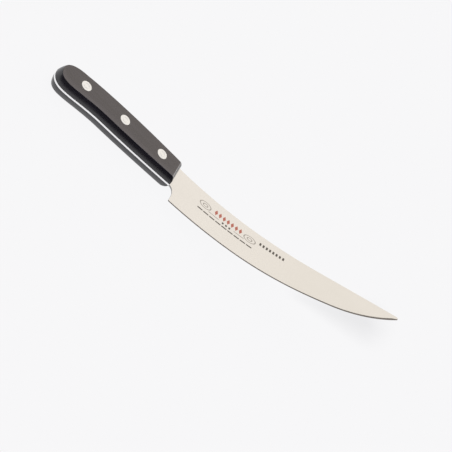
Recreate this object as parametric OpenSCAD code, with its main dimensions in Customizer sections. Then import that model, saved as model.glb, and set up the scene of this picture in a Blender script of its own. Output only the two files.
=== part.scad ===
// Flexible boning knife: full-tang blade, two riveted handle scales, three two-piece rivets.
// The knife lies on its left side. X runs along the spine towards the tip, Y from the edge
// to the spine, Z up. The blade is held bowed upwards, as it is when its tip is loaded.

/* [Blade] */
// Length of the edge, from the heel to the tip, measured along the blade
blade_len = 200; // [180:1:220]
// Height of the blade at the handle, from the neck to the spine
neck_h = 21.2; // [20:0.1:23]
// Drop of the heel below the neck
heel_drop = 13.3; // [9:0.1:15]
// Distance of the heel from the handle
heel_gap = 5.6; // [4:0.1:8]
// Height of the rounded notch between the neck and the heel
choil_h = 8; // [5:0.5:8.5]
// Thickness of the steel at the handle
stock_t = 1.6; // [1.2:0.1:2.4]
// Thickness of the steel just above the sharpened bevel
edge_t = 0.35; // [0.3:0.05:0.6]
// Height of the sharpened bevel along most of the edge
bevel_h = 0.9; // [0.6:0.1:1.5]
// Height of the sharpened bevel at the tip
bevel_tip_h = 2.1; // [1.5:0.1:3]
// Share of the grind's slope that is lost between the heel and the tip
distal_loss = 0.35; // [0:0.05:0.5]
// Fall of the spine at the tip
spine_fall = 1.8; // [0:0.1:3]
// Radius of the rounded tip
tip_r = 1.6; // [1:0.1:2.5]

/* [Edge line] */
// Length of the straight part of the edge, from the heel
straight_len = 60; // [40:1:70]
// Angle at which the straight part rises towards the spine, in degrees
edge_rise = 1.2; // [0:0.1:2]
// Radius of the belly that follows it
belly_r = 728; // [600:1:900]
// Angle of the edge where the belly ends and the sweep to the tip starts, in degrees
belly_end = 8; // [6:0.1:9]

/* [Bow] */
// Angle between the handle and the tip of the loaded blade, in degrees; 0 is a straight blade
tip_turn = 20.5; // [0:0.5:24]
// Length of blade, from the handle, that bends to one radius
bow_hold = 116; // [80:1:140]
// Length over which the bend then fades to straight
bow_fade = 40; // [10:1:50]

/* [Handle] */
// Thickness of the handle over both scales
handle_t = 15.2; // [13:0.1:16.6]
// How far the lower side of each scale leans in between the tang and the flat outer face
crown_low = 2.05; // [1:0.05:3]
// How far the upper side of each scale leans in
crown_high = 1.6; // [1:0.05:3]
// Radius of the rounded front of each scale, seen from above
front_r = 7; // [6.6:0.1:9]
// Height of that radius's centre above the middle of the steel
front_lift = 1.5; // [1:0.1:2]

/* [Rivets] */
// Diameter of the rivet heads
head_d = 8.6; // [7.2:0.1:10]
// Thickness of the rivet heads
head_t = 2; // [1.2:0.1:3]
// Outside diameter of the rivet tube
tube_d = 6.4; // [5:0.1:6.8]
// Diameter of the rivet post
post_d = 4.4; // [3:0.1:4.8]
// Distance of the front rivet from the front of the handle
first_rivet = 19.1; // [15:0.1:24]
// Distance between neighbouring rivets
rivet_pitch = 37.5; // [32:0.5:38]

/* [Hidden] */
$fn = 96;

// Colours
steel = [0.88, 0.86, 0.82];
rivet_steel = [0.80, 0.80, 0.79];
black = [0.12, 0.12, 0.13];

// The part's origin, in knife coordinates: on the rest face, between the front and middle rivets.
// Knife coordinates have X = 0 at the front of the handle, Y = 0 at the neck, Z = 0 mid-steel.
rest_back = 38;
rest_up = 9.5;
half_t = handle_t / 2;
half_stock = stock_t / 2;

// Lengths by which a cutting shape runs past the solid: beyond an end, and beyond a flat face
slack = 5;
spare = 0.5;

// Handle side view, as cubic curves from the neck round the butt to the spine
butt = [-117, 5];
underside = [[0, 0], [-20, -1.4], [-48, -2.8], [-68, -2.9]];
butt_swell = [[-68, -2.9], [-84, -3], [-96, -6.4], [-105, -6.4]];
butt_low = [[-105, -6.4], [-113, -6.4], [-117, -2], butt];
butt_high = [butt, [-117, 12], [-111, 17.3], [-98, 18]];
top_side = [[-98, 18], [-72, neck_h + 0.5], [-30, neck_h + 0.9], [0, neck_h]];
curve_steps = 14;
handle_h = neck_h - butt_low[0][1];

// Rivet centres, [x, y] in knife coordinates
rivet_y = [11.4, 10, 7.2];
function rivet_at(i) = [-first_rivet - i * rivet_pitch, rivet_y[i]];

function bezier(p, t) =
    pow(1 - t, 3) * p[0] + 3 * t * pow(1 - t, 2) * p[1]
    + 3 * t * t * (1 - t) * p[2] + pow(t, 3) * p[3];
function curve(p, steps) = [for (i = [0:steps - 1]) bezier(p, i / steps)];
side_view = concat(
    curve(underside, curve_steps), curve(butt_swell, curve_steps),
    curve(butt_low, curve_steps), curve(butt_high, curve_steps),
    curve(top_side, curve_steps), [[0, neck_h]]);

// Side view of a scale blank: the same line, run on past the handle's front and moved inwards.
// It moves by a share of the crown, which goes over from the lower to the upper value
function run_on(a, b) = b + (slack - b[0]) / (b[0] - a[0]) * (b - a);
blank_view = concat([run_on(underside[1], underside[0])], side_view,
                    [run_on(top_side[2], top_side[3])]);
function inward(a, b) = let (v = (b - a) / norm(b - a)) [v[1], -v[0]];
function crown(y) = crown_low + (crown_high - crown_low) * min(max(y / neck_h, 0), 1);
function inset_view(share) =
    let (line = blank_view, last = len(line) - 1)
    [for (i = [0:last])
        line[i] + share * crown(line[i][1]) * inward(line[max(i - 1, 0)], line[min(i + 1, last)])];

// --- Blade outline, before bending: s runs along the spine from the handle ---
blade_end = heel_gap + blade_len;
function spine_line(s) = neck_h - spine_fall * pow(s / blade_end, 3);

// The tip is rounded by a circle that touches the spine, and the edge meets it at meet_angle
meet_angle = 40;
tip_c = [blade_end - tip_r, spine_line(blade_end) - tip_r];
function tip_arc(s) = sqrt(max(tip_r * tip_r - pow(s - tip_c[0], 2), 0));
function top_y(s) = s <= tip_c[0] ? spine_line(s) : tip_c[1] + tip_arc(s);

// The edge: a straight, the belly, and a sweep whose radius takes it to the tip
straight_end = heel_gap + straight_len;
belly_start = [straight_end, straight_len * tan(edge_rise) - heel_drop];
belly_c = belly_start + belly_r * [-sin(edge_rise), cos(edge_rise)];
sweep_start = belly_c + belly_r * [sin(belly_end), -cos(belly_end)];
sweep_end = tip_c + tip_r * [sin(meet_angle), -cos(meet_angle)];
sweep_chord = sweep_end - sweep_start;
sweep_side = [-sin(belly_end), cos(belly_end)];
sweep_r = (sweep_chord * sweep_chord) / (2 * sweep_chord * sweep_side);
sweep_c = sweep_start + sweep_r * sweep_side;
function below(c, r, s) = c[1] - sqrt(max(r * r - pow(s - c[0], 2), 0));
function low_y(s) =
    s < straight_end ? (s - heel_gap) * tan(edge_rise) - heel_drop
    : s < sweep_start[0] ? below(belly_c, belly_r, s)
    : s < sweep_end[0] ? below(sweep_c, sweep_r, s)
    : tip_c[1] - tip_arc(s);

// Thickness of the steel at a point of the blade: a full-height grind, thinner towards the tip,
// that runs out between the heel and the handle
apex_t = 0.06;
grind = (stock_t - edge_t) / (neck_h + heel_drop);
function ease(u) = u * u * (3 - 2 * u);
function thickness(s, y) =
    let (ground = edge_t + grind * (1 - distal_loss * s / blade_end) * max(y - low_y(s), 0))
    s < heel_gap ? stock_t + (ground - stock_t) * ease(s / heel_gap) : ground;

// --- Bow of the blade: angle of its middle line, and the line itself ---
bow_rate = tip_turn / (bow_hold + bow_fade / 2);
function bow_angle(s) =
    let (u = min(max((s - bow_hold) / bow_fade, 0), 1))
    bow_rate * (min(s, bow_hold) + bow_fade * (u - pow(u, 3) + pow(u, 4) / 2));

// Stations along the blade, [s, height of the lower outline, whether the edge is sharpened].
// The first group follows the notch, and nick is the length of the heel's upright step
choil_steps = 8;
edge_steps = 56;
tip_steps = 6;
last_turn = 88;
nick = 0.02;
edge_start = heel_gap + nick;
stations = concat(
    [for (i = [0:choil_steps]) let (a = 90 * i / choil_steps)
        [heel_gap * sin(a), -choil_h * (1 - cos(a)), false]],
    [for (i = [0:edge_steps]) let (s = edge_start + (tip_c[0] - edge_start) * i / edge_steps)
        [s, low_y(s), true]],
    [for (i = [1:tip_steps]) let (s = tip_c[0] + tip_r * sin(last_turn * i / tip_steps))
        [s, low_y(s), true]]);
count = len(stations);
middle_line = [
    for (i = 0, p = [0, 0]; i < count;
         p = i + 1 < count ? p + chord(stations[i][0], stations[i + 1][0]) : p, i = i + 1) p];
function chord(s0, s1) = let (a = bow_angle((s0 + s1) / 2)) (s1 - s0) * [cos(a), sin(a)];

// Height of the bevel, which widens only over the last part of the blade
bevel_power = 6;
function bevel(s) = bevel_h + (bevel_tip_h - bevel_h) * pow(s / blade_end, bevel_power);

// One cross-section: its right face from the spine down to the edge, then the left face back up.
// The face has a point at each of these shares of its height above the bevel
face_shares = [1, 0.67, 0.33, 0];
function face_row(s, low, sharp, side) =
    let (top = top_y(s), foot = low + min(bevel(s), (top - low) / 3),
         foot_t = sharp ? apex_t : thickness(s, low))
    concat(
        [for (v = face_shares) let (y = foot + v * (top - foot)) [y, side * thickness(s, y) / 2]],
        [[low, side * foot_t / 2]]);
function reversed(list) = [for (i = [len(list) - 1:-1:0]) list[i]];
function section(st) = concat(
    face_row(st[0], st[1], st[2], 1), reversed(face_row(st[0], st[1], st[2], -1)));
function placed(i) =
    let (a = bow_angle(stations[i][0]), m = middle_line[i])
    [for (q = section(stations[i])) [m[0] - q[1] * sin(a), q[0], m[1] + q[1] * cos(a)]];

// A closed solid through rings of points. The cap is the list of faces that closes the first
// ring; the last ring gets the same faces, turned over
module through(rings, cap) {
    n = len(rings[0]);
    last = len(rings) - 1;
    polyhedron(
        points = [for (ring = rings) each ring],
        faces = concat(
            cap,
            [for (i = [0:last - 1]) for (j = [0:n - 1]) let (k = (j + 1) % n)
                each [[i * n + j, (i + 1) * n + j, (i + 1) * n + k],
                      [i * n + j, (i + 1) * n + k, i * n + k]]],
            [for (face = cap) [for (j = reversed(face)) last * n + j]]),
        convexity = 6);
}

// Cap of strips that join the first half of a ring to its second half
function strips(n) = [for (j = [0:n / 2 - 2]) [j, j + 1, n - 2 - j, n - 1 - j]];

// --- Sub-parts, in knife coordinates ---
module in_frame() {
    translate([rest_back, -rest_up, half_t]) children();
}

module blade() {
    color(steel) in_frame() union() {
        difference() {
            translate([0, 0, -half_stock]) linear_extrude(stock_t) polygon(side_view);
            for (i = [0:2])
                translate([rivet_at(i)[0], rivet_at(i)[1], -slack]) cylinder(d = tube_d, h = 2 * slack);
        }
        through([for (i = [0:count - 1]) placed(i)], strips(len(placed(0))));
    }
}

// A scale's blank, thicker than the scale: its sides lean in from the tang to the flat face,
// slightly rounded. At the tang they start with this share of their mean slope
first_slope = 0.45;
side_steps = 6;
function lean(q) = first_slope * q + (1 - first_slope) * q * q;
function blank_ring(z) =
    [for (p = inset_view(lean((z - half_stock) / (half_t - half_stock)))) [p[0], p[1], z]];
module crowned_blank() {
    top = half_t + spare;
    step = (half_stock - spare - top) / side_steps;
    through([for (i = [0:side_steps]) blank_ring(top + i * step)],
            [[for (j = [0:len(blank_view) - 1]) j]]);
}

// Outline of a scale seen from above the spine: flat faces and a rounded front
module front_rounding() {
    back = butt[0] - slack;
    rotate([90, 0, 0]) linear_extrude(3 * handle_h, center = true) intersection() {
        translate([back, half_stock]) square([slack - back, half_t - half_stock]);
        union() {
            translate([-front_r, front_lift]) circle(front_r);
            translate([back, 0]) square([-front_r - back, handle_t]);
        }
    }
}

// The scale on the +Z side; the other one is its mirror image
module scale_body() {
    difference() {
        intersection() {
            crowned_blank();
            front_rounding();
        }
        for (i = [0:2]) translate(rivet_at(i)) {
            cylinder(d = tube_d, h = 2 * handle_t);
            translate([0, 0, half_t - head_t]) cylinder(d = head_d, h = handle_t);
        }
    }
}

module right_scale() {
    color(black) in_frame() scale_body();
}

module left_scale() {
    color(black) in_frame() mirror([0, 0, 1]) scale_body();
}

// Rivet halves: the post drives into the socket's tube from the right side. The post runs from
// the socket's head to the middle of its own
module rivet_post(i) {
    color(rivet_steel) in_frame() translate(rivet_at(i)) {
        translate([0, 0, half_t - head_t]) cylinder(d = head_d, h = head_t);
        translate([0, 0, head_t - half_t]) cylinder(d = post_d, h = handle_t - head_t - head_t / 2);
    }
}

module rivet_socket(i) {
    color(rivet_steel) in_frame() translate(rivet_at(i)) difference() {
        union() {
            translate([0, 0, -half_t]) cylinder(d = head_d, h = head_t);
            translate([0, 0, -half_t]) cylinder(d = tube_d, h = handle_t - head_t);
        }
        translate([0, 0, head_t - half_t]) cylinder(d = post_d, h = handle_t);
    }
}

blade();
left_scale();
right_scale();
rivet_post(0);  // front_rivet_post
rivet_socket(0);  // front_rivet_socket
rivet_post(1);  // middle_rivet_post
rivet_socket(1);  // middle_rivet_socket
rivet_post(2);  // rear_rivet_post
rivet_socket(2);  // rear_rivet_socket
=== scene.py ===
"""Looks of the flexible boning knife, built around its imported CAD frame.

Every piece is made in knife coordinates, in millimetres: X is 0 at the front of the handle and runs
along the spine to the tip, Y is 0 at the neck and rises to the spine, Z is 0 in the middle of the
steel and positive on the right side. The sizes repeat those of the CAD source.
"""

import math

import bmesh
import bpy
import numpy as np
from mathutils import Matrix, Vector


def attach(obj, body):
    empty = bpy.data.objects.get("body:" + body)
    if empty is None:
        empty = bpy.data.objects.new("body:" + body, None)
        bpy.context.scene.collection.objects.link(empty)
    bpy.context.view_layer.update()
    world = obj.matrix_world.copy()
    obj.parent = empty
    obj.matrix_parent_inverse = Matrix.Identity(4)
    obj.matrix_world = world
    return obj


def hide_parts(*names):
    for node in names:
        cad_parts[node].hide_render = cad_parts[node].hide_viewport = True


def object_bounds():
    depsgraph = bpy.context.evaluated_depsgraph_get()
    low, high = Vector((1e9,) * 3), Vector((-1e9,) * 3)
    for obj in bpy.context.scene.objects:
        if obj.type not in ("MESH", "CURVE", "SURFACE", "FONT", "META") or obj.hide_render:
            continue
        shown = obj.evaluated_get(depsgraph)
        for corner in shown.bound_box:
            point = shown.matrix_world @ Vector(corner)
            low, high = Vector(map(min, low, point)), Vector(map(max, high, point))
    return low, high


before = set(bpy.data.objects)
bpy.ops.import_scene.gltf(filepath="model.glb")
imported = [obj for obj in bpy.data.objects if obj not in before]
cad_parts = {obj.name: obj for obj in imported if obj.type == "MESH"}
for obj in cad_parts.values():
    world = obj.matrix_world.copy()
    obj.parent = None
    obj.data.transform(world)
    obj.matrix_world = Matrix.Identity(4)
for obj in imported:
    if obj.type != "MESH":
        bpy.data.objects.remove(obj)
cad_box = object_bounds()

MM = 0.001

# --- Sizes of the CAD source ---
BLADE_LEN, NECK_H, HEEL_DROP, HEEL_GAP, CHOIL_H = 200, 21.2, 13.3, 5.6, 8
STOCK_T, EDGE_T, APEX_T = 1.6, 0.35, 0.06
BEVEL_H, BEVEL_TIP_H, BEVEL_POWER = 0.9, 2.1, 6
DISTAL_LOSS, SPINE_FALL, TIP_R, MEET_ANGLE = 0.35, 1.8, 1.6, math.radians(40)
STRAIGHT_LEN, EDGE_RISE = 60, math.radians(1.2)
BELLY_R, BELLY_END = 728, math.radians(8)
TIP_TURN, BOW_HOLD, BOW_FADE = math.radians(20.5), 116, 40
HANDLE_T, CROWN_LOW, CROWN_HIGH, CROWN_START = 15.2, 2.05, 1.6, 0.45
FRONT_R, FRONT_LIFT = 7, 1.5
HEAD_D, HEAD_T, TUBE_D, POST_D = 8.6, 2, 6.4, 4.4
RIVETS = {"front": (-19.1, 11.4), "middle": (-56.6, 10), "rear": (-94.1, 7.2)}
BUTT = (-117, 5)
BOTTOM_CURVES = (
    ((0, 0), (-20, -1.4), (-48, -2.8), (-68, -2.9)),
    ((-68, -2.9), (-84, -3), (-96, -6.4), (-105, -6.4)),
    ((-105, -6.4), (-113, -6.4), (-117, -2), BUTT),
)
TOP_CURVES = (
    ((0, NECK_H), (-30, NECK_H + 0.9), (-72, NECK_H + 0.5), (-98, 18)),
    ((-98, 18), (-111, 17.3), (-117, 12), BUTT),
)
HALF_T, HALF_STOCK = HANDLE_T / 2, STOCK_T / 2
FRAME_SHIFT = np.array((38, -9.5, HALF_T))


# --- Small mathematics ---
def ease(u):
    """0 to 1 with a soft start and end, held outside 0..1."""
    u = min(max(u, 0.0), 1.0)
    return u * u * (3 - 2 * u)


def soft_min(a, b, k):
    """The smaller of a and b, rounded over where they are closer than k."""
    h = min(max(0.5 + 0.5 * (b - a) / k, 0.0), 1.0)
    return b + (a - b) * h - k * h * (1 - h)


def bezier_points(curves, steps=160):
    t = np.linspace(0, 1, steps)[:, None]
    rows = []
    for c in curves:
        p = np.array(c, float)
        rows.append((1 - t) ** 3 * p[0] + 3 * t * (1 - t) ** 2 * p[1]
                    + 3 * t * t * (1 - t) * p[2] + t ** 3 * p[3])
    return np.concatenate(rows)


BOTTOM_LINE, TOP_LINE = bezier_points(BOTTOM_CURVES), bezier_points(TOP_CURVES)


def line_y(line, x):
    """Height of an outline at x; both outlines run towards -X."""
    return float(np.interp(-x, -line[:, 0], line[:, 1]))


# --- The blade's outline, thickness and bow ---
BLADE_END = HEEL_GAP + BLADE_LEN


def spine_line(s):
    """Height of the spine, s along the blade from the handle."""
    return NECK_H - SPINE_FALL * (max(s, 0) / BLADE_END) ** 3


TIP_C = np.array((BLADE_END - TIP_R, spine_line(BLADE_END) - TIP_R))
STRAIGHT_END = HEEL_GAP + STRAIGHT_LEN


def turned(angle):
    """Unit step from a circle's centre to its lower side, angle on from straight down."""
    return np.array((math.sin(angle), -math.cos(angle)))


BELLY_C = (np.array((STRAIGHT_END, STRAIGHT_LEN * math.tan(EDGE_RISE) - HEEL_DROP))
           - BELLY_R * turned(EDGE_RISE))
SWEEP_START = BELLY_C + BELLY_R * turned(BELLY_END)
SWEEP_END = TIP_C + TIP_R * turned(MEET_ANGLE)
SWEEP_CHORD = SWEEP_END - SWEEP_START
SWEEP_R = SWEEP_CHORD @ SWEEP_CHORD / (-2 * SWEEP_CHORD @ turned(BELLY_END))
SWEEP_C = SWEEP_START - SWEEP_R * turned(BELLY_END)


def below(centre, r, s):
    """Height of a circle's lower side at s."""
    return centre[1] - math.sqrt(max(r * r - (s - centre[0]) ** 2, 0))


def low_y(s):
    """Height of the edge: a straight, the belly, the sweep and the rounded tip."""
    if s < STRAIGHT_END:
        return (s - HEEL_GAP) * math.tan(EDGE_RISE) - HEEL_DROP
    if s < SWEEP_START[0]:
        return below(BELLY_C, BELLY_R, s)
    if s < SWEEP_END[0]:
        return below(SWEEP_C, SWEEP_R, s)
    return below(TIP_C, TIP_R, s)


def top_y(s):
    if s <= TIP_C[0]:
        return spine_line(s)
    return 2 * TIP_C[1] - below(TIP_C, TIP_R, s)


GRIND = (STOCK_T - EDGE_T) / (NECK_H + HEEL_DROP)


def thickness(s, y):
    """Thickness of the steel: full in the tang, ground from spine to edge and towards the tip beyond."""
    if s <= 0:
        return STOCK_T
    ground = EDGE_T + GRIND * (1 - DISTAL_LOSS * s / BLADE_END) * max(y - low_y(s), 0)
    if s < HEEL_GAP:
        return STOCK_T + (ground - STOCK_T) * ease(s / HEEL_GAP)
    return ground


def bow_angle(s):
    """Angle of the bowed blade's middle line at s."""
    if s <= 0:
        return 0.0
    u = min(max((s - BOW_HOLD) / BOW_FADE, 0), 1)
    rate = TIP_TURN / (BOW_HOLD + BOW_FADE / 2)
    return rate * (min(s, BOW_HOLD) + BOW_FADE * (u - u ** 3 + u ** 4 / 2))


BOW_STEP = 0.25
BOW_S = np.arange(0, BLADE_END + BOW_STEP, BOW_STEP)
BOW_ANGLES = np.array([bow_angle(s + BOW_STEP / 2) for s in BOW_S[:-1]])
BOW_X = np.concatenate(([0], np.cumsum(np.cos(BOW_ANGLES)))) * BOW_STEP
BOW_Z = np.concatenate(([0], np.cumsum(np.sin(BOW_ANGLES)))) * BOW_STEP


def bent(s, y, z):
    """Where a point of the straight blade goes when the blade is bowed."""
    if s <= 0:
        return (s, y, z)
    a = bow_angle(s)
    x0, z0 = np.interp(s, BOW_S, BOW_X), np.interp(s, BOW_S, BOW_Z)
    return (x0 - z * math.sin(a), y, z0 + z * math.cos(a))


# --- Making pieces ---
# In metres: points closer than the first are welded, and shorter edges than the second are dropped
WELD, SLIVER = 2e-6, 1e-6


def in_row(points):
    """Knife coordinates in millimetres, carried to the row's frame in metres."""
    return [tuple(p) for p in (np.array(points, float) + FRAME_SHIFT) * MM]


def new_object(name, points, faces):
    """A linked mesh object; its points are in the row's frame."""
    mesh = bpy.data.meshes.new(name)
    mesh.from_pydata(points, [], faces)
    obj = bpy.data.objects.new(name, mesh)
    bpy.context.scene.collection.objects.link(obj)
    return obj


def new_piece(name, points, faces, materials, sharp, kinds=None, uvs=None):
    """A piece from points in knife coordinates. kinds holds each face's material index, uvs a pair of
    coordinates for each point, and edges over sharp degrees stay sharp."""
    obj = new_object(name, in_row(points), faces)
    mesh = obj.data
    for m in materials:
        mesh.materials.append(m)
    if kinds is not None:
        mesh.polygons.foreach_set("material_index", kinds)
    if uvs is not None:
        layer = mesh.uv_layers.new(name="Along")
        flat = np.array(uvs, float)[[v for f in faces for v in f]]
        layer.data.foreach_set("uv", flat.ravel())
    clean(obj, sharp)
    return obj


def clean(obj, sharp):
    """Welds doubled points, drops faces with no area, closes the slits that this leaves, turns the
    normals outwards and shades smoothly."""
    bm = bmesh.new()
    bm.from_mesh(obj.data)
    bmesh.ops.remove_doubles(bm, verts=bm.verts, dist=WELD)
    bmesh.ops.dissolve_degenerate(bm, dist=SLIVER, edges=bm.edges)
    bmesh.ops.holes_fill(bm, edges=[e for e in bm.edges if e.is_boundary], sides=0)
    bmesh.ops.recalc_face_normals(bm, faces=bm.faces)
    for f in bm.faces:
        f.smooth = True
    bm.to_mesh(obj.data)
    bm.free()
    obj.data.set_sharp_from_angle(angle=math.radians(sharp))


def stand_for(obj, node):
    """Puts the piece in the place of a CAD node, on the knife's one body."""
    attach(obj, "root")
    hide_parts(node)


def cut(obj, cutters, sharp):
    """Takes the cutters' volumes out of obj, and the cutters out of the scene."""
    for c in cutters:
        m = obj.modifiers.new("cut", "BOOLEAN")
        m.operation, m.solver, m.object = "DIFFERENCE", "EXACT", c
    depsgraph = bpy.context.evaluated_depsgraph_get()
    mesh = bpy.data.meshes.new_from_object(obj.evaluated_get(depsgraph), depsgraph=depsgraph)
    obj.modifiers.clear()
    obj.data = mesh
    for c in cutters:
        bpy.data.meshes.remove(c.data)
    clean(obj, sharp)


# --- Node helpers ---
class Graph:
    """A node tree, with short calls for the nodes that this scene uses."""

    def __init__(self, tree):
        self.tree = tree

    def node(self, kind, inputs=(), **settings):
        n = self.tree.nodes.new(kind)
        for k, v in settings.items():
            setattr(n, k, v)
        for key, value in dict(inputs).items():
            self.put(n.inputs[key], value)
        return n

    def put(self, socket, value):
        if isinstance(value, bpy.types.NodeSocket):
            self.tree.links.new(value, socket)
        else:
            socket.default_value = value

    def math(self, operation, a, b=0.0, c=0.0):
        n = self.node("ShaderNodeMath", {0: a, 1: b, 2: c}, operation=operation)
        return n.outputs[0]

    def stretch(self, vector, scale, location=(0, 0, 0)):
        n = self.node("ShaderNodeMapping", {"Vector": vector, "Scale": scale, "Location": location})
        return n.outputs[0]

    def noise(self, vector, scale, detail, roughness):
        n = self.node("ShaderNodeTexNoise",
                      {"Vector": vector, "Scale": scale, "Detail": detail, "Roughness": roughness})
        return n.outputs["Fac"]

    def ramp(self, value, low, high, to_low=0.0, to_high=1.0):
        """value carried from low..high to to_low..to_high, held at both ends."""
        n = self.node("ShaderNodeMapRange", {"Value": value, "From Min": low, "From Max": high,
                                             "To Min": to_low, "To Max": to_high})
        return n.outputs["Result"]

    def blend(self, factor, a, b):
        n = self.node("ShaderNodeMix", data_type="RGBA")
        colours = [s for s in n.inputs if s.type == "RGBA"]
        self.put(n.inputs["Factor"], factor)
        self.put(colours[0], a)
        self.put(colours[1], b)
        return [s for s in n.outputs if s.type == "RGBA"][0]

    def bump(self, height, distance, strength):
        n = self.node("ShaderNodeBump", {"Height": height, "Distance": distance, "Strength": strength})
        return n.outputs["Normal"]


class MaterialGraph(Graph):
    """A new material's node tree."""

    def __init__(self, name):
        self.material = bpy.data.materials.new(name)
        self.material.use_nodes = True
        super().__init__(self.material.node_tree)
        self.shader = self.tree.nodes["Principled BSDF"]

    def along(self):
        """The two coordinates that the piece's points carry, as one vector."""
        return self.node("ShaderNodeUVMap", uv_map="Along").outputs["UV"]

    def place(self):
        """The place on the piece, in metres."""
        return self.node("ShaderNodeTexCoord").outputs["Object"]

    def set(self, **sockets):
        """Sets the shader's inputs and returns the material."""
        for key, value in sockets.items():
            self.put(self.shader.inputs[key.replace("_", " ")], value)
        return self.material


def colour(r, g, b):
    return (r, g, b, 1.0)


# --- Materials ---
MARK_RULE = colour(0.17, 0.16, 0.145)
MARK_RED = colour(0.36, 0.10, 0.07)
MARK_DARK = colour(0.06, 0.055, 0.05)
MARK_COVER, MARK_ROUGH = 0.92, 0.08


def marks(g, s, y):
    """A plain etched ornament: lozenges between two double ovals, dots and rules below them, and a row
    of squares beyond. Returns (mask, colour) pairs. s and y are millimetres along and across the blade,
    and soft is half the width of a mark's blurred rim."""
    soft = 0.12

    def filled(distance, size):
        """1 where distance is below size."""
        return g.ramp(distance, size - soft, size + soft, 1.0, 0.0)

    def between(value, low, high):
        """1 where value is between low and high."""
        middle, half = (low + high) / 2, (high - low) / 2
        return filled(g.math("ABSOLUTE", g.math("SUBTRACT", value, middle)), half)

    def repeat(pitch, middle):
        """Distance along the blade from the nearest of the places that lie pitch apart about middle."""
        step = g.math("SUBTRACT", s, middle)
        turn = g.math("WRAP", step, pitch / 2, -pitch / 2)
        return g.math("ABSOLUTE", turn)

    def off(value, centre):
        """Distance of value from centre."""
        return g.math("ABSOLUTE", g.math("SUBTRACT", value, centre))

    def times(*masks):
        product = masks[0]
        for m in masks[1:]:
            product = g.math("MULTIPLY", product, m)
        return product

    def lozenge(along, across, half_len, half_height):
        """Grows from 0 at a lozenge's middle to 1 at its rim."""
        return g.math("ADD", g.math("DIVIDE", along, half_len), g.math("DIVIDE", across, half_height))

    def oval(centre_s, centre_y, flattening, radius):
        """The line of an oval whose height is twice radius and whose length is flattening times more."""
        along = g.math("POWER", g.math("DIVIDE", off(s, centre_s), flattening), 2.0)
        across = g.math("POWER", off(y, centre_y), 2.0)
        away = g.math("SQRT", g.math("ADD", along, across))
        return filled(g.math("ABSOLUTE", g.math("SUBTRACT", away, radius)), 0.2)

    rim = g.ramp(lozenge(repeat(3.9, 54.6), off(y, 11.5), 1.45, 2.8), 0.92, 1.06, 1.0, 0.0)
    lozenges = times(rim, between(s, 41.0, 68.2))
    ovals = 0.0
    for centre in (32.6, 75.4):
        for radius in (2.9, 1.2):
            ovals = g.math("MAXIMUM", ovals, oval(centre, 10.4, 1.8, radius))
    rule = times(filled(off(y, 3.8), 0.55), between(s, 27.0, 80.0), filled(repeat(5.9, 53.5), 2.5))
    dots = times(filled(off(y, 6.8), 0.9), between(s, 49.5, 59.1), filled(repeat(3.2, 54.3), 0.8))
    tails = times(filled(off(y, 7.2), 0.22),
                  g.math("ADD", between(s, 37.0, 47.0), between(s, 61.5, 71.0)))
    squares = times(filled(off(y, 12.7), 1.4), between(s, 83.2, 107.2),
                    filled(repeat(3.0, 96.7), 0.82))
    return ((ovals, MARK_RULE), (tails, MARK_RULE), (rule, MARK_DARK), (dots, MARK_DARK),
            (lozenges, MARK_RED), (squares, MARK_DARK))


def satin_steel(name, marked):
    """Steel ground across the blade: fine lines from spine to edge, faint clouds and light scratches. The
    marked face carries the ornament."""
    g = MaterialGraph(name)
    uv = g.along()
    lines = g.noise(g.stretch(uv, (5200.0, 90.0, 1.0)), 1.0, 3.0, 0.6)
    clouds = g.noise(g.stretch(uv, (38.0, 60.0, 1.0)), 1.0, 3.0, 0.55)
    scratch = g.noise(g.stretch(uv, (150.0, 2600.0, 1.0), (0.3, 0.1, 0)), 1.0, 2.0, 0.5)
    scratch = g.ramp(scratch, 0.66, 0.74)
    tone = g.math("ADD", g.math("MULTIPLY", lines, 0.55), g.math("MULTIPLY", clouds, 0.45))
    base = g.blend(g.ramp(tone, 0.38, 0.62), colour(0.570, 0.588, 0.568), colour(0.602, 0.620, 0.600))
    base = g.blend(g.math("MULTIPLY", scratch, 0.25), base, colour(0.64, 0.65, 0.635))
    rough = g.ramp(tone, 0.30, 0.70, 0.30, 0.38)
    if marked:
        xy = g.node("ShaderNodeSeparateXYZ", {0: uv})
        s = g.math("MULTIPLY", xy.outputs[0], 1 / MM)
        y = g.math("MULTIPLY", xy.outputs[1], 1 / MM)
        for mask, tint in marks(g, s, y):
            base = g.blend(g.math("MULTIPLY", mask, MARK_COVER), base, tint)
            rough = g.math("ADD", rough, g.math("MULTIPLY", mask, MARK_ROUGH))
    height = g.math("SUBTRACT", lines, g.math("MULTIPLY", scratch, 0.4))
    return g.set(Base_Color=base, Metallic=1.0, Roughness=rough,
                 Normal=g.bump(height, 0.000012, 0.5))


def edge_steel(name, low, high, rough):
    """Steel of the narrow surfaces: the bevel, the spine, the notch and the tang's edge."""
    g = MaterialGraph(name)
    grain = g.noise(g.stretch(g.place(), (900.0, 900.0, 5000.0)), 1.0, 3.0, 0.6)
    base = g.blend(g.ramp(grain, 0.35, 0.65), low, high)
    return g.set(Base_Color=base, Metallic=1.0, Roughness=g.ramp(grain, 0.3, 0.7, rough, rough + 0.1),
                 Normal=g.bump(grain, 0.000015, 0.4))


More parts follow.
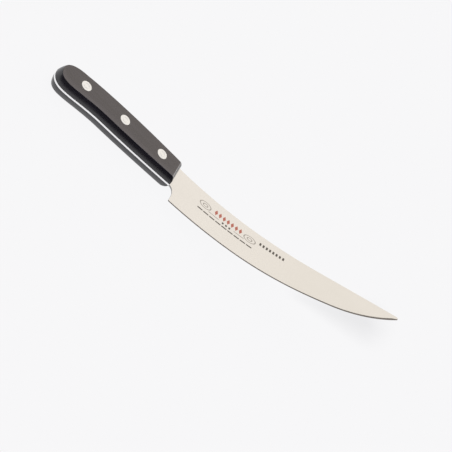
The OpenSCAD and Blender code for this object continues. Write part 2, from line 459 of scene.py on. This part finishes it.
def scale_plastic():
    """Black moulded plastic, sanded flush with the rivets: lines along the handle, paler streaks and
    specks, and a painted highlight: a paler strip along the lower arris."""
    g = MaterialGraph("handle_black")
    where = g.place()
    sanding = g.noise(g.stretch(where, (120.0, 3600.0, 3600.0)), 1.0, 3.0, 0.6)
    streaks = g.noise(g.stretch(where, (20.0, 750.0, 750.0)), 1.0, 2.0, 0.5)
    speck = g.noise(where, 2600.0, 2.0, 0.5)
    patches = g.noise(where, 90.0, 3.0, 0.5)
    tone = g.math("ADD", g.math("MULTIPLY", sanding, 0.6), g.math("MULTIPLY", patches, 0.4))
    past_arris = g.node("ShaderNodeSeparateXYZ", {0: g.along()}).outputs[1]
    # Painted highlight: a paler strip just past the lower arris, where light would catch the rounded
    # arris; it is blended into the base colour below
    arris_highlight = g.math("MULTIPLY", g.ramp(past_arris, -0.1 * MM, 0.3 * MM),
                  g.ramp(past_arris, 1.2 * MM, 4.5 * MM, 1.0, 0.0))
    base = g.blend(g.ramp(tone, 0.35, 0.65), colour(0.007, 0.006, 0.009), colour(0.013, 0.012, 0.015))
    base = g.blend(g.math("MULTIPLY", g.ramp(speck, 0.62, 0.72), 0.3), base,
                   colour(0.035, 0.033, 0.036))
    base = g.blend(g.ramp(streaks, 0.45, 0.70, 0.0, 0.45), base, colour(0.034, 0.030, 0.042))
    base = g.blend(arris_highlight, base, colour(0.037, 0.034, 0.041))
    height = g.math("ADD", g.math("MULTIPLY", sanding, 0.7), g.math("MULTIPLY", speck, 0.5))
    return g.set(Base_Color=base, IOR=1.66, Roughness=g.ramp(tone, 0.3, 0.7, 0.20, 0.29),
                 Normal=g.bump(height, 0.00003, 0.35))


def rivet_material():
    """Steel sanded flush with the scales, with faint clouds."""
    g = MaterialGraph("rivet_steel")
    where = g.place()
    sanding = g.noise(g.stretch(where, (250.0, 5200.0, 900.0)), 1.0, 3.0, 0.6)
    clouds = g.noise(where, 700.0, 2.0, 0.5)
    tone = g.math("ADD", g.math("MULTIPLY", sanding, 0.6), g.math("MULTIPLY", clouds, 0.4))
    base = g.blend(g.ramp(tone, 0.35, 0.65), colour(0.585, 0.62, 0.62), colour(0.655, 0.69, 0.69))
    return g.set(Base_Color=base, Metallic=1.0, Roughness=g.ramp(tone, 0.3, 0.7, 0.28, 0.40),
                 Normal=g.bump(sanding, 0.000015, 0.5))


FACE_RIGHT = satin_steel("blade_right_face", True)
FACE_LEFT = satin_steel("blade_left_face", False)
# Painted shade: the bevel's steel is far darker than the faces, standing in for the dark line along the
# edge
BEVEL = edge_steel("blade_bevel_painted_shade", colour(0.10, 0.10, 0.095), colour(0.15, 0.145, 0.14), 0.22)
# Painted highlight: the spine, the tang's edge and the ends are made far paler than the faces' steel so
# that they read bright
BRIGHT = edge_steel("blade_edges_painted_highlight", colour(0.92, 0.92, 0.92), colour(0.98, 0.98, 0.98), 0.24)
NOTCH = edge_steel("blade_notch", colour(0.30, 0.295, 0.29), colour(0.38, 0.375, 0.37), 0.26)
PLASTIC = scale_plastic()
RIVET = rivet_material()

# The blade's materials, in the order of its material indices
STEELS = (FACE_RIGHT, FACE_LEFT, BEVEL, BRIGHT, NOTCH)
RIGHT_KIND, LEFT_KIND, BEVEL_KIND, BRIGHT_KIND, NOTCH_KIND = range(5)


# --- Blade with its full tang ---
CHAMFER, TANG_CHAMFER = 0.16, 0.03
FACE_ROWS = 16
BLADE_SHARP = 7

# Length of the heel's upright step, and length of the rounded butt, where stations lie closer
NICK = 0.02
BUTT_LEN = 22
BUTT_STEPS, TANG_STEP, CHOIL_STEPS, EDGE_STEPS, TIP_STEPS = 36, 2.0, 18, 189, 14
LAST_TURN = math.radians(88.5)


def blade_stations():
    """(s, height of the lower outline, height of the upper one, sharpened) from the butt to the tip."""
    rows = []
    for i in range(1, BUTT_STEPS + 1):
        x = BUTT[0] + BUTT_LEN * (1 - math.cos(math.pi / 2 * i / BUTT_STEPS))
        rows.append((x, line_y(BOTTOM_LINE, x), line_y(TOP_LINE, x), False))
    for x in np.arange(BUTT[0] + BUTT_LEN + 1, 0, TANG_STEP):
        rows.append((x, line_y(BOTTOM_LINE, x), line_y(TOP_LINE, x), False))
    for i in range(CHOIL_STEPS + 1):
        a = math.pi / 2 * i / CHOIL_STEPS
        s = HEEL_GAP * math.sin(a)
        rows.append((s, -CHOIL_H * (1 - math.cos(a)), top_y(s), False))
    for s in np.linspace(HEEL_GAP + NICK, TIP_C[0], EDGE_STEPS + 1):
        rows.append((s, low_y(s), top_y(s), True))
    for i in range(1, TIP_STEPS + 1):
        s = TIP_C[0] + TIP_R * math.sin(LAST_TURN * i / TIP_STEPS)
        rows.append((s, low_y(s), top_y(s), True))
    return rows


def half_section(s, low, top, sharp):
    """Points of one side from the spine to the edge, as (y, half thickness). Chamfer and bevel shrink
    where the blade gets too low for them, near the tip."""
    c = min(TANG_CHAMFER + (CHAMFER - TANG_CHAMFER) * ease(s / HEEL_GAP), (top - low) / 6)
    bevel = BEVEL_H + (BEVEL_TIP_H - BEVEL_H) * (max(s, 0) / BLADE_END) ** BEVEL_POWER
    foot = low + (min(bevel, (top - low) / 3) if sharp else c)
    points = [(top, thickness(s, top) / 2 - min(c, thickness(s, top) / 4))]
    for v in np.linspace(1, 0, FACE_ROWS):
        y = foot + v * (top - c - foot)
        points.append((y, thickness(s, y) / 2))
    end = APEX_T / 2 if sharp else thickness(s, low) / 2 - min(c, thickness(s, low) / 4)
    points.append((low, end))
    return points


def build_blade():
    """Rings of points round the steel, joined from the butt to the tip; each ring runs down the right
    face from the spine and up the left one."""
    stations = blade_stations()
    points, uvs, faces, kinds = [], [], [], []
    for s, low, top, sharp in stations:
        half = half_section(s, low, top, sharp)
        ring = half + [(y, -h) for y, h in reversed(half)]
        for y, z in ring:
            points.append(bent(s, y, z))
            uvs.append((s * MM, y * MM))
    n = 2 * (FACE_ROWS + 2)
    half_n = n // 2
    for i in range(len(stations) - 1):
        sharp = stations[i + 1][3]
        for j in range(n):
            k = (j + 1) % n
            faces.append((i * n + j, (i + 1) * n + j, (i + 1) * n + k, i * n + k))
            row = j if j < half_n else n - 2 - j
            notched = 0 < stations[i + 1][0] <= HEEL_GAP + NICK and not sharp
            if j == n - 1 or row == 0:
                kinds.append(BRIGHT_KIND)
            elif j == half_n - 1 or row == half_n - 2:
                kinds.append(BEVEL_KIND if sharp else NOTCH_KIND if notched else BRIGHT_KIND)
            else:
                kinds.append(RIGHT_KIND if j < half_n else LEFT_KIND)
    for start in (0, (len(stations) - 1) * n):
        for j in range(half_n - 1):
            faces.append((start + j, start + j + 1, start + n - 2 - j, start + n - 1 - j))
            kinds.append(BRIGHT_KIND)
    return new_piece("blade_steel", points, faces, STEELS, BLADE_SHARP, kinds, uvs)


# --- Scales ---
ARRIS_SOFT, FRONT_SOFT, CORNER_SOFT = 0.35, 0.12, 0.9
SCALE_SHARP = 40

# Gaps of the scales: beside the tang's edge, and round a rivet head. The facet starts a little
# inside the outline, and the seam keeps a least height at the front
SEAM_GAP, HEAD_GAP = 0.03, 0.12
FACET_START, FRONT_LEAST = 0.02, 1e-3

# Rings of points inside the outline: as shares of the crown, then as distances past the arris. INNER
# is the number of rows over the flat between the rings of both sides
FACET_RINGS = (0, 0.03, 0.08, 0.17, 0.3, 0.45, 0.6, 0.75, 0.87)
ARRIS_RINGS = (-0.14, -0.07, 0, 0.07, 0.14, 0.22, 0.35, 0.6, 1.0)
INNER = 10


def crown_at(y):
    """How far a scale's side leans in between the tang and the flat, less along the top than below."""
    return CROWN_LOW + (CROWN_HIGH - CROWN_LOW) * min(max(y / NECK_H, 0), 1)


def ring_insets(crown):
    return [f * crown for f in FACET_RINGS] + [crown + e for e in ARRIS_RINGS]


def facet_height(d, crown):
    """Height of the convex facet above the middle plane, d inside the outline."""
    a, b = 1 - CROWN_START, CROWN_START
    q = (-b + math.sqrt(b * b + 4 * a * d / crown)) / (2 * a)
    return HALF_STOCK + (HALF_T - HALF_STOCK) * q


def front_height(x):
    """Height of the rounded front, above the middle plane."""
    reach = FRONT_R ** 2 - (min(x, 0) + FRONT_R) ** 2 if x > -FRONT_R else FRONT_R ** 2
    return FRONT_LIFT + math.sqrt(max(reach, 0))


def scale_height(x, d, crown):
    """Height of the scale's outside at x, d inside the outline: facet, flat and rounded front."""
    z = soft_min(facet_height(max(d - FACET_START, 0), crown), HALF_T, ARRIS_SOFT)
    corner = CORNER_SOFT * ease((x + FRONT_R) / FRONT_R) + FRONT_LEAST
    z = soft_min(z, soft_min(front_height(x), HALF_T, FRONT_SOFT), corner)
    return max(z, HALF_STOCK)


def scale_stations():
    """Places along the handle from the front to the butt, closer where the scale is rounded."""
    front_steps, side_step, butt_steps = 33, 1.5, 48
    xs = [-FRONT_R + FRONT_R * math.cos(math.radians(a)) for a in np.linspace(0, 90, front_steps + 1)]
    xs += list(np.arange(-FRONT_R - 1, BUTT[0] + BUTT_LEN, -side_step))
    xs += [BUTT[0] + BUTT_LEN * (1 - math.cos(math.pi / 2 * (1 - i / butt_steps)))
           for i in range(butt_steps + 1)]
    return sorted(set(xs), reverse=True)


def inward(line, x, sign):
    """Step into the handle from an outline, straight across near the front; sign is +1 below."""
    step, square_len, turn_len = 0.02, 8, 12
    a, b = max(x - step, BUTT[0]), min(x + step, 0)
    slope = (line_y(line, b) - line_y(line, a)) / (b - a)
    run = np.array((-slope * sign, sign)) / math.hypot(slope, 1)
    square = np.array((0, sign * math.hypot(slope, 1)))
    w = ease((-x - square_len) / turn_len)
    return square * (1 - w) + run * w


def build_scale(name, side, node):
    """Rows of points across the scale, from the lower outline over the flat to the upper one."""
    xs = scale_stations()
    count = 2 * (len(FACET_RINGS) + len(ARRIS_RINGS)) + INNER
    points, past_arris = [], []
    for x in xs:
        ends = []
        for line, sign in ((BOTTOM_LINE, 1), (TOP_LINE, -1)):
            p = np.array((x, line_y(line, x)))
            n = np.array((1.0, 0.0)) if x <= BUTT[0] + 1e-6 else inward(line, x, sign)
            crown = crown_at(p[1])
            ends.append([(p + n * (d + SEAM_GAP), d, crown) for d in ring_insets(crown)])
        low, high = ends
        row = list(low)
        for k in range(1, INNER + 1):
            t = k / (INNER + 1)
            row.append((low[-1][0] * (1 - t) + high[-1][0] * t, 2 * CROWN_LOW, CROWN_LOW))
        row += list(reversed(high))
        points.append([(p[0], p[1], scale_height(min(p[0], 0), d, crown)) for p, d, crown in row])
        # Distance past the lower arris, which places the plastic's painted arris highlight
        arris_y = low[len(FACET_RINGS) + ARRIS_RINGS.index(0)][0][1]
        past_arris += [(p[0] * MM, (p[1] - arris_y) * MM) for p, _, _ in row]
    outer = [p for row in points for p in row]
    inner = [(p[0], p[1], HALF_STOCK) for p in outer]
    base = len(outer)
    faces = []
    for i in range(len(xs) - 1):
        for j in range(count - 1):
            a = i * count + j
            faces.append((a, a + 1, a + count + 1, a + count))
            faces.append((base + a, base + a + count, base + a + count + 1, base + a + 1))
    for j in range(count - 1):
        faces.append((j, base + j, base + j + 1, j + 1))
    everything = [(x, y, side * z) for x, y, z in outer + inner]
    obj = new_piece(name, everything, faces, [PLASTIC], SCALE_SHARP, uvs=past_arris * 2)
    head_r, head_foot, tube_r = HEAD_D / 2 + HEAD_GAP, HALF_T - HEAD_T, TUBE_D / 2
    head = [(0, head_foot), (head_r, head_foot), (head_r, HANDLE_T), (0, HANDLE_T)]
    tube_foot = -1
    tube = [(0, tube_foot), (tube_r, tube_foot), (tube_r, HANDLE_T), (0, HANDLE_T)]
    cutters = [lathe("cutter", profile, centre, side, PLASTIC)
               for centre in RIVETS.values() for profile in (head, tube)]
    cut(obj, cutters, SCALE_SHARP)
    stand_for(obj, node)


# --- Rivets ---
AROUND = 72
LATHE_SHARP = 15

# The head's eased rim, the fine ring round the post, and the space above the post's end
RIM_R, RIM_STEPS = 0.18, 12
RING_HALF, RING_FLOOR_HALF, RING_DEPTH = 0.28, 0.10, 0.08
POST_SPACE = 0.02


def lathe(name, profile, centre, side, material):
    """A closed solid turned about Z through centre. The profile is (radius, height) pairs, and side -1
    mirrors it."""
    points, faces = [], []
    n = len(profile)
    for k in range(AROUND):
        a = 2 * math.pi * k / AROUND
        for r, z in profile:
            points.append((centre[0] + r * math.cos(a), centre[1] + r * math.sin(a), side * z))
    for k in range(AROUND):
        m = (k + 1) % AROUND
        for j in range(n - 1):
            faces.append((k * n + j, m * n + j, m * n + j + 1, k * n + j + 1))
    return new_piece(name, points, faces, [material], LATHE_SHARP)


def head_profile():
    """The head from its underside's rim to its middle: eased rim, flat, and a fine ring turned in it."""
    r, z, e, ring = HEAD_D / 2, HALF_T, RIM_R, POST_D / 2
    rim = [(r - e + e * math.cos(a), z - e + e * math.sin(a))
           for a in np.linspace(0, math.pi / 2, RIM_STEPS + 1)]
    groove = [(ring + RING_HALF, z), (ring + RING_FLOOR_HALF, z - RING_DEPTH),
              (ring - RING_FLOOR_HALF, z - RING_DEPTH), (ring - RING_HALF, z)]
    return [(r, z - HEAD_T)] + rim + groove + [(0, z)]


def build_rivets():
    """Each rivet is a post with a head, and a tube with a head that holds the post."""
    head_foot, post_r, tube_r = HALF_T - HEAD_T, POST_D / 2, TUBE_D / 2
    post = [(0, POST_SPACE - head_foot), (post_r, POST_SPACE - head_foot),
            (post_r, head_foot)] + head_profile()
    socket = [(0, head_foot), (post_r, head_foot), (post_r, -head_foot), (tube_r, -head_foot),
              (tube_r, head_foot)] + head_profile()
    for place, centre in RIVETS.items():
        stand_for(lathe(place + "_post", post, centre, 1, RIVET), place + "_rivet_post")
        stand_for(lathe(place + "_socket", socket, centre, -1, RIVET),
                  place + "_rivet_socket")


stand_for(build_blade(), "blade")
build_scale("right_scale_black", 1, "right_scale")
build_scale("left_scale_black", -1, "left_scale")
build_rivets()


# --- Camera, as the knife is seen in the photograph ---
CAMERA_BACK, CAMERA_UP = Vector((-0.2604, -0.7248, 0.6379)), Vector((-0.6722, 0.6103, 0.4190))
CAMERA_DISTANCE, CAMERA_RIGHT_BY, CAMERA_DOWN_BY = 930, 42.44, 30.37
LENS, SENSOR = 99.9, 36


def add_camera():
    """The camera looks at a point to the right of the neck and below it, as the view has them."""
    back = CAMERA_BACK.normalized()
    up = (CAMERA_UP - back * CAMERA_UP.dot(back)).normalized()
    right = up.cross(back)
    place = (Vector(FRAME_SHIFT) + right * CAMERA_RIGHT_BY - up * CAMERA_DOWN_BY
             + back * CAMERA_DISTANCE) * MM
    data = bpy.data.cameras.new("camera")
    data.lens, data.sensor_width = LENS, SENSOR
    cam = bpy.data.objects.new("camera", data)
    bpy.context.scene.collection.objects.link(cam)
    turn = Matrix((right, up, back)).transposed().to_4x4()
    cam.matrix_world = Matrix.Translation(place) @ turn
    bpy.context.scene.camera = cam


# --- Floor and light ---
PALE = colour(0.93, 0.93, 0.945)
FLOOR_HALF, FLOOR_BELOW = 6.0, 0.0001


def add_floor():
    """A pale floor. It glows, so that it looks even, and the sun adds the rest of its light."""
    h = FLOOR_HALF
    floor = new_object("floor", [(-h, -h, 0), (h, -h, 0), (h, h, 0), (-h, h, 0)], [(0, 1, 2, 3)])
    floor.location.z = cad_box[0].z - FLOOR_BELOW
    floor.data.materials.append(MaterialGraph("floor_white").set(
        Base_Color=colour(0.03, 0.03, 0.03), Roughness=1.0, Specular_IOR_Level=0.0,
        Emission_Color=PALE, Emission_Strength=0.838))
    return floor


def add_flag():
    """A black card on the edge's side that only reflections see. It keeps the near side of the scales
    dark."""
    x, y, z = 0.6, -0.062, 0.04
    flag = new_object("flag", [(-x, y, 0), (x, y, 0), (x, y, z), (-x, y, z)], [(0, 1, 2, 3)])
    flag.data.materials.append(MaterialGraph("flag_black").set(
        Base_Color=colour(0.02, 0.016, 0.04), Roughness=1.0, Specular_IOR_Level=0.0))
    flag.visible_camera = flag.visible_shadow = flag.visible_diffuse = False


def add_world():
    """Pale for the eye. For light and reflections, a broad warm lamp behind the spine, two small lamps
    and a dim room, darker on the edge's side."""
    world = bpy.data.worlds.new("studio")
    world.use_nodes = True
    bpy.context.scene.world = world
    world.node_tree.nodes.clear()
    g = Graph(world.node_tree)
    way = g.node("ShaderNodeTexCoord").outputs["Generated"]

    def lobe(direction, inner, outer):
        """1 within inner degrees of the direction, falling to 0 at outer."""
        d = Vector(direction).normalized()
        dot = g.node("ShaderNodeVectorMath", {0: way, 1: tuple(d)}, operation="DOT_PRODUCT")
        angle = g.math("ARCCOSINE", dot.outputs["Value"])
        n = g.node("ShaderNodeMapRange", {"Value": angle, "From Min": math.radians(outer),
                                          "From Max": math.radians(inner)},
                   interpolation_type="SMOOTHSTEP")
        return n.outputs["Result"]

    room = g.blend(lobe((0.35, -1, 0.12), 24, 62), colour(0.42, 0.42, 0.44),
                   colour(0.036, 0.032, 0.052))
    sideways = g.node("ShaderNodeSeparateXYZ", {0: way}).outputs[0]
    lamp = g.blend(g.ramp(sideways, -0.25, 0.0), colour(1.40, 1.26, 1.14), colour(1.49, 1.34, 1.255))
    lamp = g.blend(g.ramp(sideways, 0.08, 0.36), lamp, colour(1.40, 1.265, 1.18))
    lit = g.blend(lobe((0.20, 1, 0.42), 44, 64), room, lamp)
    lit = g.blend(lobe((0.69, 0.72, 0.03), 9, 22), lit, colour(3.3, 3.15, 3.1))
    lit = g.blend(lobe((0.26, -0.35, 0.9), 6, 14), lit, colour(4.0, 3.9, 4.1))
    pale = g.node("ShaderNodeBackground", {"Color": PALE})
    light = g.node("ShaderNodeBackground", {"Color": lit})
    path = g.node("ShaderNodeLightPath").outputs["Is Camera Ray"]
    mixed = g.node("ShaderNodeMixShader", {0: path, 1: light.outputs[0], 2: pale.outputs[0]})
    g.node("ShaderNodeOutputWorld", {"Surface": mixed.outputs[0]})


def add_gobo():
    """A card in the place of the blade's last part, and reaching below it. Only the sun sees it, so that
    the floor has the soft shadow that a tip pressed on a table has, and none along the handle."""
    start, full, reach, count = 120.0, 195.0, 20.0, 24
    points = []
    for s in np.linspace(start, BLADE_END - 0.5, count):
        share = min((s - start) / (full - start), 1.0)
        low = low_y(s) - reach * share * share
        points += [bent(s, low, 0.0), bent(s, low + share * (top_y(s) - low) + 0.01, 0.0)]
    faces = [(i, i + 1, i + 3, i + 2) for i in range(0, 2 * count - 2, 2)]
    gobo = new_object("gobo", in_row(points), faces)
    gobo.visible_camera = gobo.visible_diffuse = gobo.visible_glossy = False
    gobo.visible_transmission = False
    return gobo


def linked_to(name, obj):
    """A collection that holds one object, for the light's links."""
    collection = bpy.data.collections.new(name)
    collection.objects.link(obj)
    return collection


def add_sun(floor, gobo):
    """A broad sun from the camera's side that lights only the floor, and that only the gobo blocks."""
    data = bpy.data.lights.new("sun", "SUN")
    data.energy, data.angle, data.color = 20.0, math.radians(20), (1.0, 0.99, 0.97)
    sun = bpy.data.objects.new("sun", data)
    bpy.context.scene.collection.objects.link(sun)
    sun.rotation_euler = Vector((-0.307, -0.673, 0.678)).to_track_quat("Z", "Y").to_euler()
    sun.light_linking.receiver_collection = linked_to("lit_by_sun", floor)
    sun.light_linking.blocker_collection = linked_to("blocks_sun", gobo)


add_camera()
add_sun(add_floor(), add_gobo())
add_flag()
add_world()
bpy.context.scene.view_settings.view_transform = "Standard"
